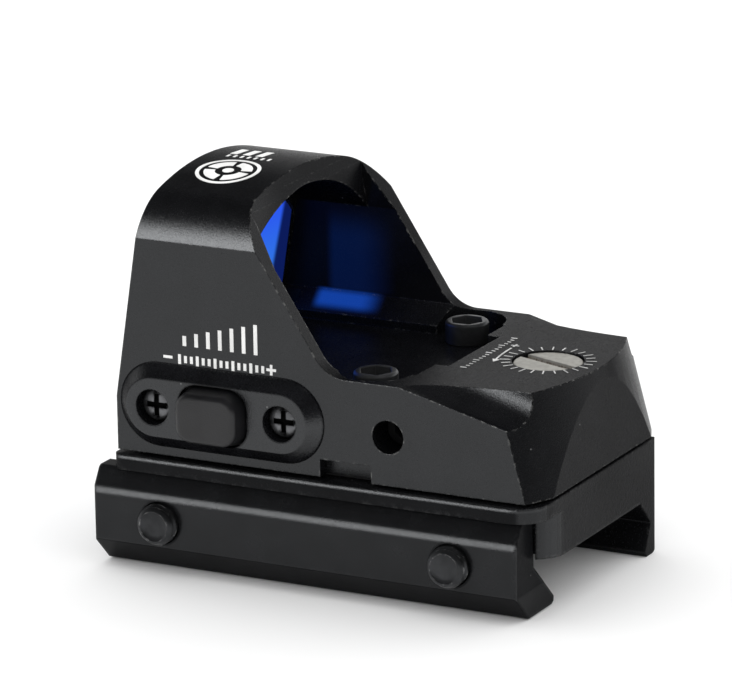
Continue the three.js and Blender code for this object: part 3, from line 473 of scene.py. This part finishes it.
def coated_glass(name, tint, sheen, clear, painted_reflection):
    """A pane that tints what is seen through it, with a coating that shows at a slant, and a
    painted blue reflection if asked.
    """
    material, n = new_material(name)
    place = millimetres(n)
    stain = n.mix(n.ramp(n.noise(place, 0.12, 2.0), 0.35, 0.65), scaled(tint, 1.0),
                  scaled(tint, 0.86))
    smear = n.noise(place, 1.3, 3.0)
    through = n.add("ShaderNodeBsdfTransparent", {0: stain}).outputs[0]
    gloss = n.maths("ADD", 0.03, n.product(smear, 0.05))
    ripple = n.add("ShaderNodeBump", {"Height": smear, "Distance": 0.001 * MM}).outputs[0]
    mirror = n.add("ShaderNodeBsdfGlossy", {
        "Color": sheen + (1,), "Roughness": gloss, "Normal": ripple}).outputs[0]
    slant = n.slant()
    amount = n.ramp(slant, 0.3, 1.0, 1.0 - clear, 0.14)
    pane = n.add("ShaderNodeMixShader", {0: amount, 1: through, 2: mirror}).outputs[0]
    # Painted reflection: a self-lit blue layer that covers more of the pane at a slant.
    if painted_reflection:
        cover = n.ramp(slant, 0.0, 0.55, 0.25, 0.97)
        sky = painted_blue_reflection(n, place)
        pane = n.add("ShaderNodeMixShader", {0: cover, 1: pane, 2: sky}).outputs[0]
    n.end(pane)
    return material


def grimy_metal(name):
    """Bare turned metal with turning lines and brown grime left in the driver slot."""
    material, n = new_material(name)
    place = millimetres(n)
    x, y, z = n.axes(n.vector_maths("SUBTRACT", {0: place, 1: (0.0, DIAL_Y, 0.0)}))
    flat = n.add("ShaderNodeCombineXYZ", {0: x, 1: y}).outputs[0]
    radius = n.vector_maths("LENGTH", {0: flat}, "Value")
    lathe = n.noise(n.add("ShaderNodeCombineXYZ", {0: radius}).outputs[0], 14.0, 2.0)
    blotch = n.noise(place, 1.6, 4.0, 0.6)
    clean = n.mix(n.ramp(blotch, 0.35, 0.7), (0.44, 0.43, 0.39, 1), (0.34, 0.33, 0.30, 1))
    depth = n.falling(z, 14.82, 15.05)
    crust = n.ramp(n.noise(place, 3.4, 4.0, 0.7), 0.38, 0.6)
    dirt = n.product(depth, n.maths("ADD", 0.35, n.product(crust, 0.65)))
    soil = n.mix(n.ramp(n.noise(place, 6.0, 3.0), 0.4, 0.65), (0.05, 0.036, 0.024, 1),
                 (0.16, 0.125, 0.09, 1))
    base = n.mix(dirt, clean, soil)
    metal = n.maths("SUBTRACT", 0.65, n.product(dirt, 0.6))
    rough = n.maths("ADD", 0.42, n.product(dirt, 0.35))
    lumps = n.product(n.noise(place, 5.0, 4.0), n.product(dirt, 4.0))
    bump = n.add("ShaderNodeBump", {
        "Height": n.maths("ADD", lathe, lumps), "Distance": 0.006 * MM,
        "Normal": n.rounded(0.08)}).outputs[0]
    shader = n.add("ShaderNodeBsdfPrincipled", {
        "Base Color": base, "Roughness": rough, "Metallic": metal, "Normal": bump})
    n.end(shader.outputs[0])
    return material


def coat_with(piece, material):
    piece.data.materials.clear()
    piece.data.materials.append(material)


# ------------------------------------------------------------------ materials
LOOKS = {
    "housing": finish(
        "anodised_black", (0.0038, 0.0039, 0.0045), 0.25, specular=0.46, grain=(9.0, 0.018),
        edge=0.13, wear=0.6, worn=(0.26, 0.26, 0.25), specks=0.8, shy=True, sparkle=0.22,
        paint_light_and_shade=painted_lens_light_and_shade),
    "base": finish(
        "anodised_base", (0.0038, 0.0039, 0.0044), 0.25, specular=0.46, grain=(6.0, 0.025),
        edge=0.35, wear=0.25, worn=(0.14, 0.14, 0.14), specks=0.6, shy=True, sparkle=0.15,
        paint_light_and_shade=flange_shade),
    "bar": finish(
        "anodised_bar", (0.0060, 0.0062, 0.0068), 0.23, specular=0.25, grain=(6.0, 0.007),
        edge=0.4, wear=0.12, worn=(0.12, 0.12, 0.125), specks=0.9, brush=(0.4, 0.05, 0.4),
        shy=True, sparkle=0.15, paint_light_and_shade=painted_lower_highlight),
    "rubber": finish(
        "pad_rubber", (0.0045, 0.0046, 0.0054), 0.27, specular=0.6, grain=(5.0, 0.020),
        edge=0.28, specks=0.5, mottle=0.25, shy=True),
    "button": finish(
        "button_rubber", (0.0060, 0.0060, 0.0068), 0.36, specular=0.46, grain=(7.0, 0.03),
        edge=0.2, specks=0.4, mottle=0.3),
    "oxide": finish(
        "black_oxide", (0.075, 0.077, 0.08), 0.38, metallic=0.85, grain=(5.0, 0.015),
        edge=0.08, wear=0.5, worn=(0.3, 0.3, 0.3), mottle=0.35),
    # Painted shade darkens the cross recess of the pad screws.
    "cross_head": finish(
        "black_oxide_cross", (0.13, 0.132, 0.138), 0.36, metallic=0.85, grain=(5.0, 0.015),
        edge=0.08, wear=0.5, worn=(0.35, 0.35, 0.35), mottle=0.3, recess=PAD_SCREW_FACE + 0.06),
    # The light rubbed edges on the clamp screw tips are partly wear and partly painted highlight,
    # and reach into sheltered places too.
    "rod": finish(
        "black_oxide_rod", (0.032, 0.033, 0.035), 0.34, metallic=0.8, grain=(4.0, 0.02),
        edge=0.09, wear=1.0, worn=(0.55, 0.55, 0.55), mottle=0.35, shelter=(0.05, 0.3)),
    # Painted shade: the plug deep in the windage port is made near black with little shine, for the
    # shade in the port.
    "dull_oxide_in_painted_shade": finish(
        "black_dull_oxide_in_painted_shade", (0.006, 0.006, 0.0065), 0.6, metallic=0.2, specular=0.2,
        grain=(5.0, 0.010), edge=0.06, mottle=0.35),
    "dial": grimy_metal("turned_metal"),
    "steel": finish(
        "bright_steel", (0.42, 0.42, 0.43), 0.3, metallic=1.0, grain=(6.0, 0.004), edge=0.06),
    "spring": finish(
        "spring_wire", (0.36, 0.36, 0.38), 0.32, metallic=1.0, grain=(9.0, 0.003), edge=0.02),
    "brass": finish(
        "machined_brass", (0.50, 0.34, 0.12), 0.34, metallic=1.0, grain=(6.0, 0.005),
        brush=(0.2, 1.0, 1.0), edge=0.08),
    "copper": finish(
        "contact_copper", (0.62, 0.36, 0.17), 0.32, metallic=1.0, grain=(7.0, 0.003), edge=0.03),
    "cell": finish(
        "cell_can", (0.55, 0.55, 0.56), 0.28, metallic=1.0, grain=(4.0, 0.004),
        brush=(0.1, 1.0, 1.0), edge=0.1, wear=0.3, worn=(0.3, 0.29, 0.27)),
    "board": finish(
        "solder_mask", (0.012, 0.085, 0.035), 0.38, grain=(3.0, 0.02), edge=0.06, mottle=0.3,
        coat=0.3),
    "resin": finish("switch_resin", (0.018, 0.018, 0.019), 0.5, grain=(6.0, 0.006), edge=0.06),
    "cap": finish("switch_cap", (0.55, 0.53, 0.46), 0.45, grain=(6.0, 0.006), edge=0.06),
    "led": finish("led_resin", (0.55, 0.03, 0.02), 0.2, grain=(8.0, 0.002), edge=0.03, coat=0.5),
    "seal": finish(
        "seal_rubber", (0.009, 0.009, 0.0095), 0.62, grain=(7.0, 0.012), edge=0.05, mottle=0.3),
    "bead": finish(
        "lens_bead", (0.006, 0.009, 0.025), 0.28, grain=(2.5, 0.03), edge=0.1, mottle=0.3),
    "paint": finish(
        "marking_paint", (0.74, 0.74, 0.73), 0.55, grain=(9.0, 0.010), edge=0.02, mottle=0.10),
    "faint_paint": finish(
        "deck_paint", (0.52, 0.52, 0.51), 0.6, grain=(9.0, 0.010), edge=0.02, mottle=0.25),
    "lens": coated_glass("coated_glass", (0.20, 0.44, 1.0), (0.25, 0.42, 1.0), 0.97, True),
    "pane": coated_glass("clear_pane", (0.9, 0.94, 0.96), (0.9, 0.95, 1.0), 0.92, False),
}


# ------------------------------------------------------------------ pieces made here
def thread_radius(radius, depth, turn, along, pitch):
    """Radius of a thread at a place along the rod, for one angle."""
    phase = (along / pitch - turn / (2 * math.pi)) % 1.0
    return radius - depth * abs(2 * phase - 1)


def hexagon(turn, flat):
    """Distance from the middle to the side of a hexagon, for one angle."""
    sixth = math.pi / 3
    return flat / math.cos((turn % sixth) - sixth / 2)


def threaded_screw(node, body):
    """Screw turned about a line along X, from its chamfered threaded tip to its socket head."""
    around, pitch, depth = 48, 0.7, 0.30
    tip, shank, thread_end = CLAMP_SCREW_TIP, CLAMP_SCREW_SHANK, CLAMP_SCREW_THREAD_END
    inner, outer = CLAMP_SCREW_HEAD["inner"], CLAMP_SCREW_HEAD["outer"]
    head, socket = CLAMP_SCREW_HEAD["radius"], CLAMP_SCREW_HEAD["hex"]
    floor = outer - CLAMP_SCREW_HEAD["depth"]
    low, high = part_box(node)
    y, z = (low.y + high.y) / 2 / MM, (low.z + high.z) / 2 / MM
    rings = []

    def ring(x, radius_of):
        points = []
        for i in range(around):
            turn = 2 * math.pi * i / around
            r = radius_of(turn)
            points.append(Vector((x, y + r * math.cos(turn), z + r * math.sin(turn))) * MM)
        rings.append(points)

    def plain(x, radius):
        ring(x, lambda t: radius)

    dish, chamfer, run_in = 0.12, 0.33, 0.45
    plain(tip + dish, 0.35 * shank)
    plain(tip + dish, 0.66 * shank)
    plain(tip, shank - 0.52)
    plain(tip + 0.01, shank - 0.43)
    steps_per_turn = 8
    steps = int((thread_end - tip) / pitch * steps_per_turn)
    for i in range(steps + 1):
        x = tip + dish + (thread_end - tip - dish) * i / steps
        fade = min(1.0, (x - tip) / run_in)
        limit = shank - chamfer * (1 - fade)
        ring(x, lambda t: min(thread_radius(shank, depth, t, x, pitch), limit))
    plain(thread_end + 0.1, shank - 0.12)
    plain(thread_end + 0.35, shank)
    plain(inner, shank)
    plain(inner, head - 0.12)
    plain(inner + 0.12, head)
    knurl_rings, knurls, knurl_depth = 12, 12, 0.07
    knurl_start, knurl_end = inner + 0.3, outer - 0.5
    for i in range(knurl_rings + 1):
        x = knurl_start + (knurl_end - knurl_start) * i / knurl_rings
        ring(x, lambda t: head - knurl_depth * abs(math.sin(knurls * t)))
    plain(outer - 0.22, head - 0.05)
    plain(outer - 0.06, head - 0.2)
    plain(outer, head - 0.36)
    ring(outer, lambda t: hexagon(t, socket) + 0.15)
    ring(outer - 0.12, lambda t: hexagon(t, socket))
    ring(floor, lambda t: hexagon(t, socket))
    plain(floor - 0.35, 0.25 * socket)
    bm = bmesh.new()
    rings_to_mesh(bm, rings)
    piece = add_object(node + "_shown", bm, body, node)
    split_edges(piece, 42)
    coat_with(piece, LOOKS["rod"])


def button_piece():
    """Moulded button: soft crowned face, drafted walls, hidden flange and stem."""
    length, height, corner = 6.3, 4.75, 1.55
    face, foot, flange_in = -16.3, -13.6, -13.05
    edge, edge_steps = 0.5, 6
    draft, draft_steps = 0.32, 4
    flange = draft + 0.305
    y, z = BUTTON_CENTRE
    rings = []

    def ring(x, grow):
        outline = rounded_outline(length + 2 * grow, height + 2 * grow, max(corner + grow, 0.15))
        rings.append([Vector((x, y + a, z + b)) * MM for a, b in outline])

    ring(face - 0.02, -1.9)
    ring(face - 0.015, -1.2)
    ring(face, -0.62)
    for i in range(edge_steps + 1):
        turn = math.radians(90 * i / edge_steps)
        ring(face + edge * (1 - math.cos(turn)), edge * (math.sin(turn) - 1))
    for i in range(1, draft_steps + 1):
        t = i / draft_steps
        ring(face + edge + (foot - face - edge) * t, draft * t)
    ring(foot + 0.02, draft + 0.005)
    ring(foot + 0.02, flange)
    ring(flange_in, flange)
    ring(flange_in, -1.1)
    bm = bmesh.new()
    rings_to_mesh(bm, rings)
    stem_z, around = 11.1, 28
    turns = [2 * math.pi * i / around for i in range(around)]
    stem = [
        [Vector((x, y + r * math.cos(t), stem_z + r * math.sin(t))) * MM for t in turns]
        for x, r in ((flange_in - 0.2, 0.8), (-11.0, 0.8), (-10.86, 0.66))
    ]
    rings_to_mesh(bm, stem)
    node = "brightness_button"
    piece = add_object(node + "_shown", bm, "button", node)
    split_edges(piece, 50)
    coat_with(piece, LOOKS["button"])


def side_marks():
    """Growing bars over a small scale, with a minus and a plus sign."""
    bm = bmesh.new()
    first, pitch, count = 12.45, -1.237, 7
    foot, shortest, tallest = 16.58, 0.95, 2.85
    for i in range(count):
        y = first + pitch * i
        tall = shortest + (tallest - shortest) * i / (count - 1)
        prism(bm, rectangle(y - 0.19, y + 0.19, foot, foot + tall), on_side)
    line = 15.35
    prism(bm, rectangle(13.75, 14.7, line - 0.13, line + 0.13), on_side)
    prism(bm, rectangle(2.95, 3.95, line - 0.13, line + 0.13), on_side)
    prism(bm, rectangle(3.32, 3.58, line + 0.14, line + 0.5), on_side)
    prism(bm, rectangle(3.32, 3.58, line - 0.5, line - 0.14), on_side)
    for i in range(15):
        y = 13.0 - i * 0.62
        tall = 0.55 if i % 3 == 0 else 0.4
        prism(bm, rectangle(y - 0.15, y + 0.15, line - tall, line + tall * 0.7), on_side)
    return add_object("side_marks", bm, "finder", None)


def deck_marks():
    """Ticks around the elevation dial, a turning arrow and a short scale in front of it."""
    bm = bmesh.new()
    ticks = 24
    for i in range(ticks):
        turn = math.radians(360 / ticks * i + 4)
        inner, outer = 3.5, 4.35 + (0.12 if i % 2 else 0.0)
        along = Vector((math.cos(turn), math.sin(turn)))
        middle = Vector((0.0, DIAL_Y))
        prism(bm, stroke(middle + along * inner, middle + along * outer, 0.12), on_deck)
    arrow = []
    for i in range(9):
        t = i / 8
        arrow.append((2.3 - 4.0 * t, -13.15 - 0.35 * t * t))
    for a, b in zip(arrow, arrow[1:]):
        prism(bm, stroke(a, b, 0.17), on_deck)
    x, y = arrow[-1]
    prism(bm, [(x + 0.05, y + 0.36), (x - 0.75, y - 0.08), (x + 0.05, y - 0.36)], on_deck)
    prism(bm, rectangle(2.75, 3.55, -13.2, -13.02), on_deck)
    prism(bm, rectangle(3.06, 3.24, -12.98, -12.72), on_deck)
    prism(bm, rectangle(3.06, 3.24, -13.5, -13.24), on_deck)
    foot = -12.25
    for i in range(17):
        x = -5.2 + 0.66 * i
        tall = 0.62 if i % 4 == 0 else 0.36
        prism(bm, rectangle(x - 0.075, x + 0.075, foot, foot + tall), on_deck)
    return add_object("deck_marks", bm, "finder", None)


def crown_marks():
    """A plain aiming roundel and a few strokes on top of the hood."""
    bm = bmesh.new()
    centre = (-4.0, 12.75)
    arc_band(bm, centre, 2.72, 3.08, 0, 360, 48, on_crown)
    for start in (8, 98, 188, 278):
        arc_band(bm, centre, 1.25, 2.3, start, start + 74, 10, on_crown)
    arc_band(bm, centre, 0.02, 0.55, 0, 360, 14, on_crown)
    for i in range(3):
        y = 14.9 - 1.35 * i
        prism(bm, rectangle(0.95, 3.3, y - 0.36, y + 0.36), on_crown)
    for i in range(7):
        y = 15.0 - 0.72 * i
        prism(bm, rectangle(-0.15, 0.5, y - 0.12, y + 0.12), on_crown)
    return add_object("crown_marks", bm, "finder", None)


# node: body, look
WELDED = {
    "housing": ("finder", "housing"),
    "control_pad": ("finder", "rubber"),
    "rail_base": ("finder", "base"),
    "clamp_bar": ("clamp", "bar"),
}
# node: body, edge radius, look
REFINED = {
    "pad_screw_front": ("finder", 0.05, "cross_head"),
    "pad_screw_rear": ("finder", 0.05, "cross_head"),
    "elevation_dial": ("elevation_dial", 0.06, "dial"),
    "mounting_screw_left": ("finder", 0.08, "oxide"),
    "mounting_screw_right": ("finder", 0.08, "oxide"),
    "windage_screw": ("windage_adjuster", 0.05, "oxide"),
    "windage_plug": ("finder", 0.05, "dull_oxide_in_painted_shade"),
    "battery": ("finder", 0.08, "cell"),
    "emitter_block": ("emitter_block", 0.1, "brass"),
    "emitter_carriage": ("emitter_carriage", 0.08, "brass"),
    "switch_body": ("finder", 0.06, "resin"),
    "locating_pin_left": ("finder", 0.05, "steel"),
    "locating_pin_right": ("finder", 0.05, "steel"),
}
# CAD nodes shown as they are: look
KEPT = {
    "lens": "lens",
    "lens_seal": "bead",
    "switch_plunger": "cap",
    "circuit_board": "board",
    "battery_contact_top": "copper",
    "battery_contact_side": "copper",
    "elevation_nut": "steel",
    "emitter_led": "led",
    "emitter_window": "pane",
    "elevation_seal": "seal",
    "windage_seal": "seal",
    "base_gasket": "seal",
}
# node: joint, axis, fixed end, how much of the length is left
SPRINGS = {
    "elevation_spring": ("emitter_lift", (0, 0, 1), (0.0, -14.75, 6.72), 0.7),
    "windage_spring": ("emitter_shift", (1, 0, 0), (-8.9, -8.38, 10.43), 0.92),
}


def build_pieces():
    for node, (body, look) in WELDED.items():
        coat_with(welded(node, body), LOOKS[look])
    for node, (body, width, look) in REFINED.items():
        coat_with(refined(node, body, width), LOOKS[look])
    for node, look in KEPT.items():
        coat_with(NODES[node], LOOKS[look])
    for node, (joint, axis, fixed, keep) in SPRINGS.items():
        spring = welded(node, "finder")
        coat_with(spring, LOOKS["spring"])
        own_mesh(spring)
    button_piece()
    for end in ("front", "rear"):
        threaded_screw(f"clamp_screw_{end}", f"{end}_clamp_screw")
    coat_with(side_marks(), LOOKS["paint"])
    coat_with(deck_marks(), LOOKS["faint_paint"])
    coat_with(crown_marks(), LOOKS["paint"])


# ------------------------------------------------------------------ stage, light and camera
LIGHT_TARGET = Vector((0, 0, 0.015))
LIGHT_DISTANCE = 0.5
AHEAD = (0.885, 0.465, 0.0)


def camera_axes():
    yaw, pitch, roll = (math.radians(a) for a in (CAMERA_YAW, CAMERA_PITCH, CAMERA_ROLL))
    level = math.cos(pitch)
    forward = Vector((-math.sin(yaw) * level, math.cos(yaw) * level, math.sin(pitch)))
    right = forward.cross(Vector((0, 0, 1))).normalized()
    up = right.cross(forward)
    across = right * math.cos(roll) + up * math.sin(roll)
    upward = up * math.cos(roll) - right * math.sin(roll)
    return forward, across, upward


def add_camera():
    forward, across, upward = camera_axes()
    data = bpy.data.cameras.new("camera")
    data.lens = CAMERA_LENS
    data.sensor_width = CAMERA_SENSOR
    data.shift_x, data.shift_y = CAMERA_SHIFT
    data.clip_start = 0.01
    camera = bpy.data.objects.new("camera", data)
    camera.matrix_world = Matrix.Translation(Vector(CAMERA_PLACE) * MM) @ Matrix(
        (across, upward, -forward)).transposed().to_4x4()
    bpy.context.scene.collection.objects.link(camera)
    bpy.context.scene.camera = camera


def add_floor():
    """Square of floor just under the lowest point, in metres."""
    half, gap = 3.0, 0.00002
    z = cad_box[0][2] - gap
    bm = bmesh.new()
    corners = rectangle(-half, half, -half, half)
    bm.faces.new([bm.verts.new((x, y, z)) for x, y in corners])
    mesh = bpy.data.meshes.new("floor")
    bm.to_mesh(mesh)
    bm.free()
    floor = bpy.data.objects.new("floor", mesh)
    bpy.context.scene.collection.objects.link(floor)
    material, n = new_material("pale_floor")
    n.end(n.add("ShaderNodeBsdfDiffuse", {"Color": (0.86, 0.86, 0.86, 1)}).outputs[0])
    coat_with(floor, material)


def add_area(name, towards, size, power, diffuse=True):
    """A soft box in a direction seen from the object, with sizes in metres."""
    data = bpy.data.lights.new(name, "AREA")
    data.shape = "RECTANGLE"
    data.size, data.size_y = size
    data.energy = power
    light = bpy.data.objects.new(name, data)
    bpy.context.scene.collection.objects.link(light)
    direction = Vector(towards).normalized()
    place = LIGHT_TARGET + direction * LIGHT_DISTANCE
    turn = direction.to_track_quat("Z", "Y").to_matrix().to_4x4()
    light.matrix_world = Matrix.Translation(place) @ turn
    light.visible_diffuse = diffuse
    return light


def light_only(light, names):
    """Keep a light to the named pieces."""
    group = bpy.data.collections.new(light.name + "_reach")
    for name in names:
        group.objects.link(bpy.data.objects[name])
    light.light_linking.receiver_collection = group


def add_dome(towards, strength, angle):
    """Very wide sun that lights the scene without a reflection of its own."""
    data = bpy.data.lights.new("dome", "SUN")
    data.energy = strength
    data.angle = math.radians(angle)
    light = bpy.data.objects.new("dome", data)
    bpy.context.scene.collection.objects.link(light)
    direction = Vector(towards).normalized()
    light.matrix_world = direction.to_track_quat("Z", "Y").to_matrix().to_4x4()
    light.visible_glossy = False


def add_world():
    """Pale surroundings in front of the finder that fade to dark overhead and behind the camera."""
    world = bpy.data.worlds.new("studio")
    bpy.context.scene.world = world
    world.use_nodes = True
    n = Nodes(world.node_tree)
    way = n.add("ShaderNodeTexCoord").outputs["Generated"]
    forward = n.vector_maths("DOT_PRODUCT", {0: way, 1: AHEAD}, "Value")
    ahead = n.ramp(forward, -0.22, 0.36, 0.02, 1.0)
    lift = n.ramp(n.axes(way)[2], 0.28, 0.62, 1.0, 0.05)
    strength = n.product(ahead, lift)
    back = n.add("ShaderNodeBackground", {"Color": (1, 1, 1, 1), "Strength": strength})
    n.end(back.outputs[0], "ShaderNodeOutputWorld")


def light_scene():
    add_world()
    add_dome((-0.15, -0.1, 1.0), 4.1, 170)
    band = add_area("band_box", (-0.67, 0.43, 0.60), (0.36, 0.20), 2.2, diffuse=False)
    light_only(band, ["housing_shown", "rail_base_shown"])
    bar = add_area("bar_box", (-0.86, 0.48, 0.235), (0.34, 0.05), 1.0, diffuse=False)
    light_only(bar, ["clamp_bar_shown"])
    add_area("groove_box", (-0.1, -0.35, 0.9), (0.12, 0.12), 0.05)
    view = bpy.context.scene.view_settings
    view.view_transform = "Standard"
    view.look = "None"
    view.exposure = 0.0


build_pieces()
add_floor()
add_camera()
light_scene()
